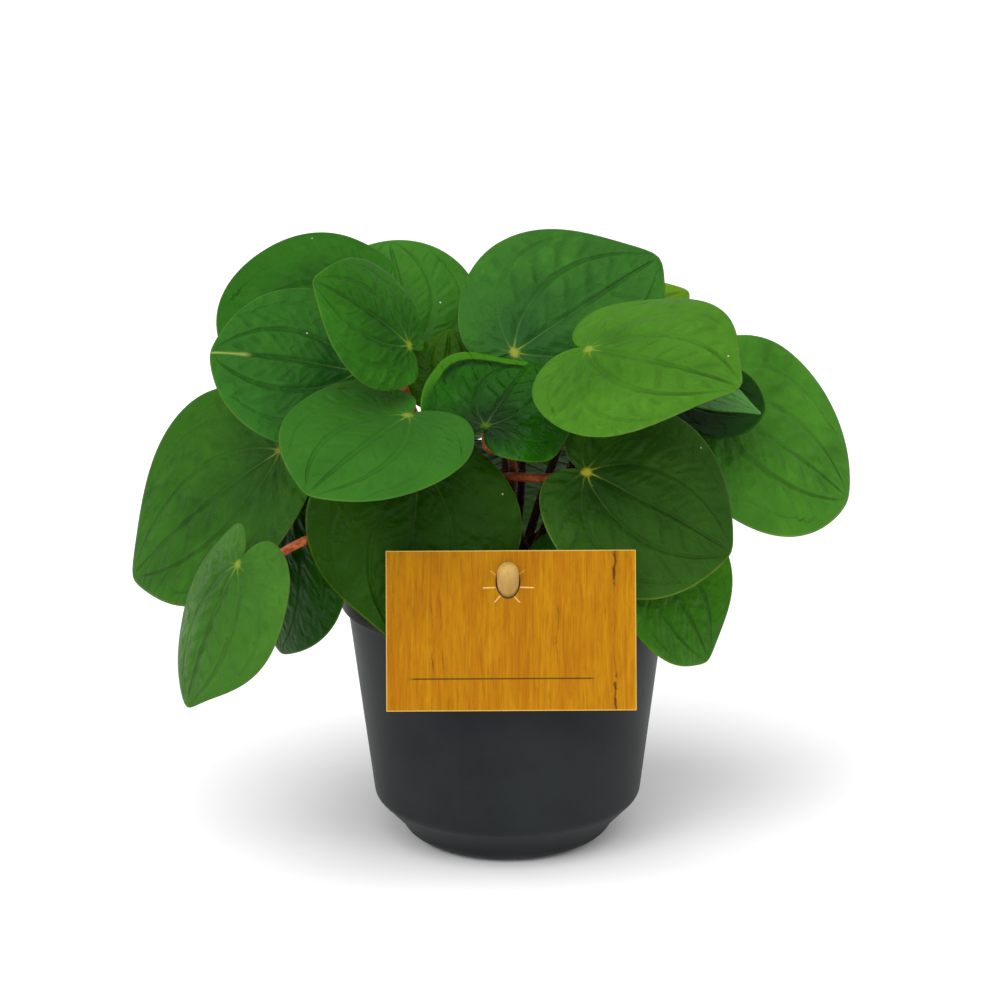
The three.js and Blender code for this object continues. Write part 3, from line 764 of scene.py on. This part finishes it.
def make_blade(name, leaf):
    angles = np.arange(BLADE_ANGLES) * 2 * math.pi / BLADE_ANGLES
    angles = np.where(angles > math.pi, angles - 2 * math.pi, angles)
    shares = np.arange(1, BLADE_RINGS + 1) / BLADE_RINGS
    angle = np.tile(angles, BLADE_RINGS)
    share = np.repeat(shares, BLADE_ANGLES)
    half = BLADE_THICKNESS / 2 * (0.3 + 0.7 * np.sqrt(1 - share**8))
    centre = np.zeros(1)
    spots = functools.partial(blade_points, leaf, leaf_axes(leaf))
    top, fields = spots(angle, share, half)
    below, _ = spots(angle, share, -half)
    above_hub, hub_fields = spots(centre, centre, BLADE_THICKNESS / 2)
    below_hub, _ = spots(centre, centre, -BLADE_THICKNESS / 2)
    rim, _ = spots(angles, np.full(len(angles), RIM_SHARE), 0)
    vertices = np.concatenate([above_hub, top, rim, below, below_hub])
    count = BLADE_ANGLES
    top_start = 1
    rim_start = top_start + BLADE_RINGS * count
    below_start = rim_start + count
    faces = [face[::-1] for face in grid_faces(BLADE_RINGS + 1, count, top_start)]
    faces += grid_faces(BLADE_RINGS, count, below_start)
    faces += fan(0, top_start, count) + fan(len(vertices) - 1, below_start, count, True)
    outer = below_start + (BLADE_RINGS - 1) * count
    for i in range(count):
        after = (i + 1) % count
        faces.append((rim_start + i, outer + i, outer + after, rim_start + after))
    piece = new_object(f"blade_{name}", vertices, faces, LEAF_LOOKS[leaf["look"]])
    for key, values in fields.items():
        last_ring = values[-count:]
        add_field(piece, key, np.concatenate(
            [hub_fields[key], values, last_ring, values, hub_fields[key]]
        ))
    under_share = np.concatenate([
        np.zeros(1 + len(top)), np.full(count, 0.5), np.ones(len(below) + 1),
    ])
    add_field(piece, "under", under_share)
    add_field(piece, "tone", np.tile(leaf.get("tone", (1, 1, 1)), (len(vertices), 1)))
    return dress(piece, "leaf", f"leaf_{name}")


# ---- Crown and stalks ----

def stalk_path(leaf):
    axes = leaf_axes(leaf)
    outward = np.array((leaf["hub"][0], leaf["hub"][1], 0), float)
    outward /= np.linalg.norm(outward)
    root = outward * STALK_ROOT_RADIUS + (0, 0, STALK_ROOT_Z)
    leave = outward * CROWN_RADIUS + (0, 0, CROWN_TOP_Z)
    end = axes["hub"] - axes["up"] * STALK_END
    approach = end - axes["up"] * STALK_APPROACH - axes["along"] * STALK_APPROACH / 6
    seat = axes["hub"] - axes["up"] * BLADE_THICKNESS * 0.3
    path = smooth_path([root, leave, *leaf.get("via", []), approach, end], STALK_STEPS)
    return np.concatenate([path, [seat]])


def make_stalks():
    parts = []
    ripeness = []
    for leaf in LEAVES.values():
        path = stalk_path(leaf)
        share = np.linspace(0, 1, len(path))
        flare = 1 + STALK_FLARE * np.exp(-((1 - share) / FLARE_SHARE) ** 2)
        radii = STALK_RADIUS * (STALK_FOOT_SIZE - STALK_THINNING * share) * flare
        parts.append(swept(path, radii, STALK_SIDES))
        ripeness.append(np.repeat(share * leaf.get("ripeness", USUAL_RIPENESS_AND_SHADE), STALK_SIDES))
    shoulder = CROWN_TOP_Z - CROWN_SHOULDER
    profile = [
        (0, CROWN_FOOT_Z), (CROWN_RADIUS - 1, CROWN_FOOT_Z), (CROWN_RADIUS, CROWN_FOOT_Z + 1),
        (CROWN_RADIUS * 0.97, shoulder - 2),
        *bend((CROWN_RADIUS, shoulder - 2), (CROWN_RADIUS * 0.9, CROWN_TOP_Z - 1), (2, CROWN_TOP_Z), 8),
        (0, CROWN_TOP_Z),
    ]
    crown, crown_faces = turned(profile, CROWN_SIDES)
    for i, point in enumerate(crown):
        swell = noise.fractal(Vector(point) * 0.25, 1, 2, 3)
        crown[i, :2] *= 1 + 0.1 * swell * (point[2] > SOIL_CROWN_Z - 6)
    parts.append((crown, crown_faces))
    # The crown gets none of the red, so it is dark all over with the stalks' painted shade.
    ripeness.append(np.zeros(len(crown)))
    piece = new_object("leafstalks", *joined(parts), stalk_look())
    add_field(piece, "ripeness", np.concatenate(ripeness))
    return dress(piece, "stalk", "stalks")


def stalk_look():
    look = Look("stalk_red")
    place = look.place()
    ripeness = look.field("ripeness")
    streaks = look.noise(place, 420, 4, 0.6)
    skin = look.mix(look.ramp(streaks, 0.35, 0.7), (130, 58, 22), (180, 98, 48))
    # Painted shade: towards the crown the stalks darken to near black, as they lie in the plant's
    # shade.
    skin = look.over(skin, (30, 16, 7), ripeness, 0.3, 0.85, 0.95, 0)
    skin = look.over(skin, (150, 160, 70), ripeness, 0.93, 1.0, 0, 0.7)
    dots = look.cells(place, 1100).outputs["Distance"]
    skin = look.over(skin, (206, 150, 112), dots, 0.1, 0.3, 0.35, 0)
    look.bump(look.total(look.times(streaks, 0.25), look.times(dots, 0.1)))
    return look.finish(skin, 0.45, Specular_IOR_Level=0.15)


# ---- Pot ----

def wall_radius(z):
    share = (z - WALL_FOOT_Z) / (POT_HEIGHT - RIM_BAND - WALL_FOOT_Z)
    return WALL_FOOT_RADIUS + (WALL_TOP_RADIUS - WALL_FOOT_RADIUS) * share


def pot_profile():
    band = POT_HEIGHT - RIM_BAND
    inner = RIM_RADIUS - POT_WALL
    shoulder = (WALL_FOOT_RADIUS - SHOULDER_INSET, WALL_FOOT_Z - SHOULDER_DROP)
    inner_foot = (WALL_FOOT_RADIUS - POT_WALL, WALL_FOOT_Z + 0.4)
    inner_shoulder = (WALL_FOOT_RADIUS - SHOULDER_INSET - 1.1, WALL_FOOT_Z - SHOULDER_DROP + 1)
    points = [(0, 0), (REST_RADIUS, 0)]
    points += bend(points[-1], (FOOT_RADIUS - 2, 0), (FOOT_RADIUS, FOOT_Z), 8)
    points += [shoulder]
    points += bend(shoulder, (WALL_FOOT_RADIUS - 0.3, WALL_FOOT_Z - SHOULDER_DROP / 2),
                   (WALL_FOOT_RADIUS, WALL_FOOT_Z), 8)
    points += [(wall_radius(z), z) for z in np.linspace(WALL_FOOT_Z + 4, band - 3, 14)]
    points += [(WALL_TOP_RADIUS, band - 1)]
    points += bend(points[-1], (WALL_TOP_RADIUS + 0.1, band), (RIM_RADIUS - 0.5, band), 4)
    points += bend(points[-1], (RIM_RADIUS, band), (RIM_RADIUS, band + 0.5), 3)
    points += [(RIM_RADIUS, band + 3), (RIM_RADIUS, POT_HEIGHT - RIM_EDGE)]
    points += bend(points[-1], (RIM_RADIUS, POT_HEIGHT), (RIM_RADIUS - RIM_EDGE, POT_HEIGHT), 5)
    points += bend(points[-1], (inner, POT_HEIGHT), (inner, POT_HEIGHT - RIM_EDGE), 5)
    points += [(inner, band + 1), (WALL_TOP_RADIUS - POT_WALL, band), inner_foot, inner_shoulder]
    points += [(FOOT_RADIUS - POT_WALL, FOOT_Z + 0.6)]
    points += bend(points[-1], (FOOT_RADIUS - POT_WALL - 2, POT_WALL), (REST_RADIUS, POT_WALL), 5)
    return points + [(0, POT_WALL)]


def make_pot():
    points, faces = turned(pot_profile(), POT_SEGMENTS)
    piece = new_object("nursery_pot", points, faces, pot_look())
    return dress(piece, "pot_plastic", "pot")


def pot_look():
    look = Look("pot_plastic")
    place = look.place()
    drawn = look.noise(look.place((1, 1, 0.08)), 160, 3)
    clouds = look.noise(place, 26, 4, 0.6)
    skin = look.mix(look.ramp(clouds, 0.3, 0.7), (27, 30, 31), (35, 38, 39))
    skin = look.over(skin, (38, 41, 40), drawn, 0.5, 0.8, 0, 0.25)
    scuffs = look.noise(look.place((1, 1, 3)), 210, 5, 0.7)
    skin = look.over(skin, (50, 52, 50), scuffs, 0.66, 0.8, 0, 0.3)
    grain = look.noise(place, 2600, 2, 0.6)
    look.bump(look.total(look.times(grain, 0.02), look.times(drawn, 0.04)))
    return look.finish(skin, look.ramp(clouds, 0.2, 0.8, 0.42, 0.52), Specular_IOR_Level=0.09)


# ---- Peat ----

def soil_height(radius):
    well = CROWN_RADIUS
    edge = wall_radius(SOIL_EDGE_Z) - POT_WALL
    share = np.clip((edge - radius) / (edge - well), 0, 1)
    return SOIL_EDGE_Z + (SOIL_CROWN_Z - SOIL_EDGE_Z) * math.sin(share * math.pi / 2)


def soil_lumps(x, y):
    coarse = noise.fractal(Vector((x, y, 3)) * 0.12, 0.9, 2, 4)
    fine = noise.fractal(Vector((x, y, 9)) * 0.55, 0.7, 2, 4)
    return SOIL_ROUGHNESS * (0.9 * coarse + 0.5 * fine)


def make_soil(peat):
    inset = POT_WALL + 0.3
    edge = wall_radius(SOIL_EDGE_Z) - inset
    profile = [
        (0, inset), (REST_RADIUS - 1, inset), (FOOT_RADIUS - inset - 1, FOOT_Z + 1.5),
        (WALL_FOOT_RADIUS - 4, WALL_FOOT_Z - 2), (WALL_FOOT_RADIUS - inset, WALL_FOOT_Z + 2),
        (edge, SOIL_EDGE_Z - 1.5),
    ]
    below = (len(profile) - 1) * POT_SEGMENTS
    profile += [(radius, soil_height(radius)) for radius in np.linspace(edge, 1, SOIL_RINGS)]
    profile += [(0, SOIL_CROWN_Z)]
    points, faces = turned(profile, POT_SEGMENTS)
    for i in range(below, len(points) - 2):
        points[i, 2] += soil_lumps(points[i, 0], points[i, 1])
    dress(new_object("peat", points, faces, peat), "peat", "soil")


def lump(seed, place, size):
    """A small irregular grain with a bumpy surface."""
    dice = np.random.default_rng(seed)
    rows, columns = 5, 8
    stretch = dice.uniform(0.6, 1.3, 3)
    points = [(0, 0, -1)]
    for row in range(1, rows):
        tilt = math.pi * row / rows
        for column in range(columns):
            turn = 2 * math.pi * column / columns
            around = math.sin(tilt)
            points.append((around * math.cos(turn), around * math.sin(turn), -math.cos(tilt)))
    points.append((0, 0, 1))
    points = np.array(points) * stretch * dice.uniform(0.72, 1.1, (len(points), 1)) * size
    turn = np.array(Matrix.Rotation(dice.uniform(0, 6), 3, Vector(dice.normal(size=3)).normalized()))
    points = points @ turn.T + place
    faces = grid_faces(rows - 1, columns, 1)
    last = len(points) - 1
    faces += fan(0, 1, columns, True) + fan(last, last - columns, columns)
    return points, faces


def scattered(seed, count, low, high):
    """Grains that lie on the peat between the crown and the pot's wall."""
    dice = np.random.default_rng(seed)
    grains = []
    for i in range(count):
        radius = math.sqrt(dice.uniform(CROWN_RADIUS**2, GRAIN_REACH**2))
        angle = dice.uniform(0, 2 * math.pi)
        size = low + (high - low) * dice.uniform() ** 2
        x, y = radius * math.cos(angle), radius * math.sin(angle)
        z = soil_height(radius) + soil_lumps(x, y) + 0.3 * size
        grains.append(lump(seed * 1000 + i, (x, y, z), size))
    return joined(grains)


def make_grains(peat):
    crumbs = scattered(1, CRUMB_COUNT, 0.5, 2.4)
    dress(new_object("peat_crumbs", *crumbs, peat), "peat")
    perlite = scattered(2, PERLITE_COUNT, 0.5, 1.7)
    dress(new_object("perlite_grains", *perlite, perlite_look(), smooth=False), "peat")


def peat_look():
    look = Look("peat")
    place = look.place()
    clumps = look.noise(place, 240, 5, 0.7)
    fibres = look.noise(look.place((1, 3, 1)), 900, 4, 0.7, 1.5)
    skin = look.mix(look.ramp(clumps, 0.3, 0.7), (20, 14, 10), (52, 38, 27))
    skin = look.over(skin, (84, 62, 42), fibres, 0.6, 0.75, 0, 0.5)
    look.bump(look.total(clumps, look.times(fibres, 0.5)), 0.8 * MM)
    return look.finish(skin, 0.95, Specular_IOR_Level=0.2)


def perlite_look():
    look = Look("perlite")
    place = look.place()
    dust = look.noise(place, 900, 4, 0.7)
    skin = look.mix(dust, (232, 230, 222), (176, 170, 156))
    look.bump(look.times(dust, 0.3))
    return look.finish(skin, 0.85)


# ---- Label and stick ----

def label_matrix():
    turn = Matrix.Rotation(math.pi / 2 - LABEL_LEAN, 4, "X")
    return Matrix.Translation(LABEL_CENTRE * MM) @ turn


def hole_centre():
    return LABEL_CENTRE + label_matrix().to_3x3() @ Vector((HOLE_ASIDE, HOLE_RISE, 0))


def hole_half_sizes():
    slant = math.pi / 2 - LABEL_LEAN - STICK_LEAN
    clear = STICK_RADIUS + STICK_CLEARANCE
    rise = clear / math.cos(slant) + LABEL_THICKNESS / 2 * math.tan(slant)
    return clear + 0.1, rise + 0.2 + HOLE_SAG


def add_outline(curve, points):
    spline = curve.splines.new("POLY")
    spline.points.add(len(points) - 1)
    for target, (x, y) in zip(spline.points, points):
        target.co = (x * MM, y * MM, 0, 1)
    spline.use_cyclic_u = True


def make_label():
    curve = bpy.data.curves.new("card_outline", "CURVE")
    curve.dimensions = "2D"
    curve.fill_mode = "BOTH"
    right, top = LABEL_WIDTH / 2 - LABEL_BEVEL, LABEL_HEIGHT / 2 - LABEL_BEVEL
    add_outline(curve, [(-right, -top), (right, -top), (right, top), (-right, top)])
    wide, high = (half + LABEL_BEVEL for half in hole_half_sizes())
    middle = HOLE_RISE - HOLE_SAG
    turns = np.arange(HOLE_SIDES) * 2 * math.pi / HOLE_SIDES
    add_outline(curve, [
        (HOLE_ASIDE + wide * math.cos(turn), middle + high * math.sin(turn))
        for turn in turns
    ])
    curve.extrude = (LABEL_THICKNESS / 2 - LABEL_BEVEL) * MM
    curve.bevel_depth = LABEL_BEVEL * MM
    curve.bevel_resolution = 2
    draft = linked("card_draft", curve)
    bpy.context.view_layer.update()
    depsgraph = bpy.context.evaluated_depsgraph_get()
    mesh = bpy.data.meshes.new_from_object(draft.evaluated_get(depsgraph))
    bpy.data.objects.remove(draft)
    mesh.materials.clear()
    mesh.materials.append(card_look())
    card = linked("card", mesh)
    card.matrix_world = label_matrix()
    dress(card, "label", "label_card")


def card_look():
    look = Look("label_print")
    place = look.place()
    x, y, z = look.parts(place)
    wide = look.noise(look.place((1, 0.05, 0)), 130, 3, 0.6, 0.4)
    fine = look.noise(look.place((1, 0.05, 0)), 1100, 4, 0.7, 0.6)
    mottle = look.noise(look.place((1, 0.4, 0)), 420, 4, 0.6)
    blotch = look.noise(look.place((1, 0.5, 0)), 60, 3)
    wood = look.mix(look.ramp(wide, 0.35, 0.65), (154, 98, 2), (162, 111, 3))
    wood = look.over(wood, (130, 74, 2), fine, 0.44, 0.68, 0, 0.6)
    wood = look.over(wood, (178, 124, 8), fine, 0.3, 0.46, 0.5, 0)
    wood = look.over(wood, (146, 84, 2), blotch, 0.5, 0.75, 0, 0.5)
    wood = look.over(wood, (132, 82, 2), mottle, 0.5, 0.7, 0, 0.35)
    wander = look.swing(look.place((0, 1, 0)), 90, 4 * MM, 4)
    for across, low, high, half_width, depth in CRACKS:
        from_line = look.math("ABSOLUTE", look.total(x, wander, -across * MM))
        swelling = look.times(look.noise(place, 260, 4), 2.2 * half_width * MM)
        strip = look.ramp(from_line, 0, swelling, 1, 0)
        lower = look.ramp(y, (low - 1.5) * MM, (low + 1.5) * MM)
        upper = look.ramp(y, (high - 1.5) * MM, (high + 1.5) * MM, 1, 0)
        broken = look.ramp(look.noise(place, 330, 5, 0.7), 0.36, 0.5)
        crack = look.times(strip, broken, lower, upper, depth)
        wood = look.mix(crack, wood, (60, 40, 12))
    rule = look.ramp(look.gap(y, RULE_Y * MM), 0.15 * MM, 0.34 * MM, 1, 0)
    from_middle = look.gap(x, RULE_X * MM)
    rule = look.times(rule, look.ramp(from_middle, (RULE_HALF - 3) * MM, RULE_HALF * MM, 1, 0))
    wood = look.mix(look.times(rule, 0.85), wood, (54, 36, 14))
    for (x1, y1), (x2, y2), clarity in STAR_CUTS:
        length = math.hypot(x2 - x1, y2 - y1)
        dx, dy = (x2 - x1) / length, (y2 - y1) / length
        off_x = look.math("SUBTRACT", x, x1 * MM)
        off_y = look.math("SUBTRACT", y, y1 * MM)
        along = look.total(look.times(off_x, dx), look.times(off_y, dy))
        across = look.math("ABSOLUTE", look.total(look.times(off_x, -dy), look.times(off_y, dx)))
        from_middle = look.gap(along, length / 2 * MM)
        inside = look.ramp(from_middle, (length / 2 - 0.3) * MM, (length / 2 + 0.1) * MM, 1, 0)
        slit = look.times(look.ramp(across, 0.1 * MM, 0.3 * MM, 1, 0), inside, clarity)
        wood = look.mix(slit, wood, (214, 180, 116))
    border = look.strongest(*(
        look.ramp(look.math("ABSOLUTE", offset), (half - 0.4) * MM, (half - 0.2) * MM)
        for offset, half in ((x, LABEL_WIDTH / 2), (y, LABEL_HEIGHT / 2))
    ))
    wood = look.mix(look.times(border, 0.7), wood, (206, 168, 84))
    front = look.ramp(z, 0.33 * MM, 0.39 * MM)
    back = look.ramp(z, -0.39 * MM, -0.33 * MM, 1, 0)
    printed = look.math("MAXIMUM", front, back)
    skin = look.mix(printed, (226, 210, 170), wood)
    look.bump(look.total(look.times(fine, 0.02), look.times(look.noise(place, 3000), 0.01)))
    return look.finish(skin, look.ramp(wide, 0.3, 0.7, 0.5, 0.58), Specular_IOR_Level=0.07)


# Dark cracks of the printed wood: place across, lowest and highest place, half width, depth.
CRACKS = [
    (35.9, 15.5, 28, 0.75, 0.95),
    (35.9, -28, -15, 0.7, 0.95),
    (35.8, -15, 15.5, 0.3, 0.35),
    (16.1, -11.5, 9, 0.3, 0.6),
    (-27.6, 1, 11.5, 0.3, 0.5),
    (-27.2, -14, -8, 0.4, 0.7),
    (-24.5, 0, 10.5, 0.25, 0.45),
    (-23.6, -14, -7, 0.25, 0.5),
    (-10.9, -4, 24, 0.22, 0.3),
    (-40.8, 4, 22, 0.25, 0.35),
    (24, 12, 25, 0.22, 0.3),
]
# Pale cuts in the print round the hole, from one end to the other, and how clear they are.
STAR_CUTS = [
    ((-9.8, 14.8), (-5.3, 14.9), 0.85), ((2.2, 15), (8, 14.8), 0.85),
    ((-7.2, 20.9), (-5.1, 19.1), 0.35), ((2.5, 19.1), (4.7, 20.9), 0.35),
    ((-3.5, 12.2), (-5.8, 9.7), 0.7), ((0.7, 12.2), (3.2, 9.6), 0.7),
]
RULE_X = -3.2
RULE_Y = -16.6
RULE_HALF = 33


def make_stick():
    direction = Vector((0, -math.sin(STICK_LEAN), math.cos(STICK_LEAN)))
    centre = hole_centre()
    length = (centre.z - STICK_FOOT_Z) / direction.z + STICK_PROUD
    profile = [(0, 0), (STICK_RADIUS - 1, 0), (STICK_RADIUS, 1)]
    profile += [(STICK_RADIUS, z) for z in np.linspace(4, length - 1.5 * STICK_RADIUS, 30)]
    profile += bend(profile[-1], (STICK_RADIUS, length), (0, length), 14)
    points, faces = turned(profile, STICK_SIDES)
    for i, point in enumerate(points):
        rough = noise.fractal(Vector((point[0] * 0.6, point[1] * 0.6, point[2] * 0.08)), 1, 2, 3)
        points[i, :2] *= 1 - 0.02 * abs(rough)
    piece = new_object("wooden_stick", points, faces, stick_look())
    foot = centre + direction * (STICK_PROUD - length)
    turn = Vector((0, 0, 1)).rotation_difference(direction).to_matrix().to_4x4()
    piece.matrix_world = Matrix.Translation(foot * MM) @ turn
    dress(piece, "stick_wood", "label_stick")


def stick_look():
    look = Look("stick_wood")
    grain = look.noise(look.place((1, 1, 0.05)), 900, 5, 0.7, 0.4)
    bands = look.noise(look.place((1, 1, 0.1)), 220, 3)
    pores = look.noise(look.place((1, 1, 0.2)), 2400, 3, 0.7)
    skin = look.mix(look.ramp(bands, 0.3, 0.7), (168, 130, 65), (184, 150, 86))
    skin = look.over(skin, (134, 90, 40), grain, 0.5, 0.75, 0, 0.5)
    skin = look.over(skin, (110, 68, 30), pores, 0.62, 0.72, 0, 0.5)
    look.bump(look.total(look.times(grain, 0.15), look.times(pores, 0.06)))
    return look.finish(skin, 0.7, Specular_IOR_Level=0.2)


# ---- Studio ----

def floor_look():
    look = Look("studio_floor")
    soft = look.noise(look.place(), 4, 2)
    skin = look.mix(soft, (0.93, 0.93, 0.93, 1), (0.94, 0.94, 0.94, 1))
    return look.finish(skin, 0.9, Specular_IOR_Level=0.1)


def make_floor():
    side = FLOOR_REACH
    corners = [(-side, -side, 0), (side, -side, 0), (side, side, 0), (-side, side, 0)]
    new_object("studio_floor", corners, [(0, 1, 2, 3)], floor_look(), smooth=False)


def add_light(name, place, target, size, power):
    light = bpy.data.lights.new(name, "AREA")
    light.shape = "DISK"
    light.size = size * MM
    light.energy = power
    lamp = linked(name, light)
    lamp.location = Vector(place) * MM
    aim = Vector(target) * MM - lamp.location
    lamp.rotation_euler = aim.to_track_quat("-Z", "Y").to_euler()


def make_lights():
    sun = bpy.data.lights.new("soft_sky", "SUN")
    sun.angle = math.radians(75)
    sun.energy = 2.4
    lamp = linked("soft_sky", sun)
    lamp.rotation_euler = (math.radians(22), math.radians(-12), 0)
    middle = (0, 0, 120)
    add_light("front_left", (-1100, -1300, 1000), middle, 900, 8)
    add_light("front_right", (1200, -1100, 800), middle, 900, 5)
    world = bpy.data.worlds.new("studio")
    world.use_nodes = True
    world.node_tree.nodes["Background"].inputs["Color"].default_value = (1, 1, 1, 1)
    world.node_tree.nodes["Background"].inputs["Strength"].default_value = 0.7
    bpy.context.scene.world = world
    bpy.context.scene.view_settings.view_transform = "Standard"


def make_camera():
    cos, sin = math.cos(CAMERA_ELEVATION), math.sin(CAMERA_ELEVATION)
    forward = Vector((0, cos, -sin))
    level_up = Vector((0, sin, cos))
    level_right = Vector((1, 0, 0))
    right = level_right * math.cos(CAMERA_ROLL) - level_up * math.sin(CAMERA_ROLL)
    up = level_right * math.sin(CAMERA_ROLL) + level_up * math.cos(CAMERA_ROLL)
    data = bpy.data.cameras.new("camera")
    data.sensor_width = SENSOR
    data.lens = SENSOR * PIXELS_PER_MM * CAMERA_DISTANCE / PICTURE_SIDE
    camera = linked("camera", data)
    turn = Matrix((right, up, -forward)).transposed().to_4x4()
    place = (CAMERA_TARGET - forward * CAMERA_DISTANCE) * MM
    camera.matrix_world = Matrix.Translation(place) @ turn
    bpy.context.scene.camera = camera


make_camera()
make_lights()
make_floor()
make_pot()
peat_material = peat_look()
make_soil(peat_material)
make_grains(peat_material)
make_stalks()
make_label()
make_stick()
for leaf_name, leaf_values in LEAVES.items():
    make_blade(leaf_name, leaf_values)
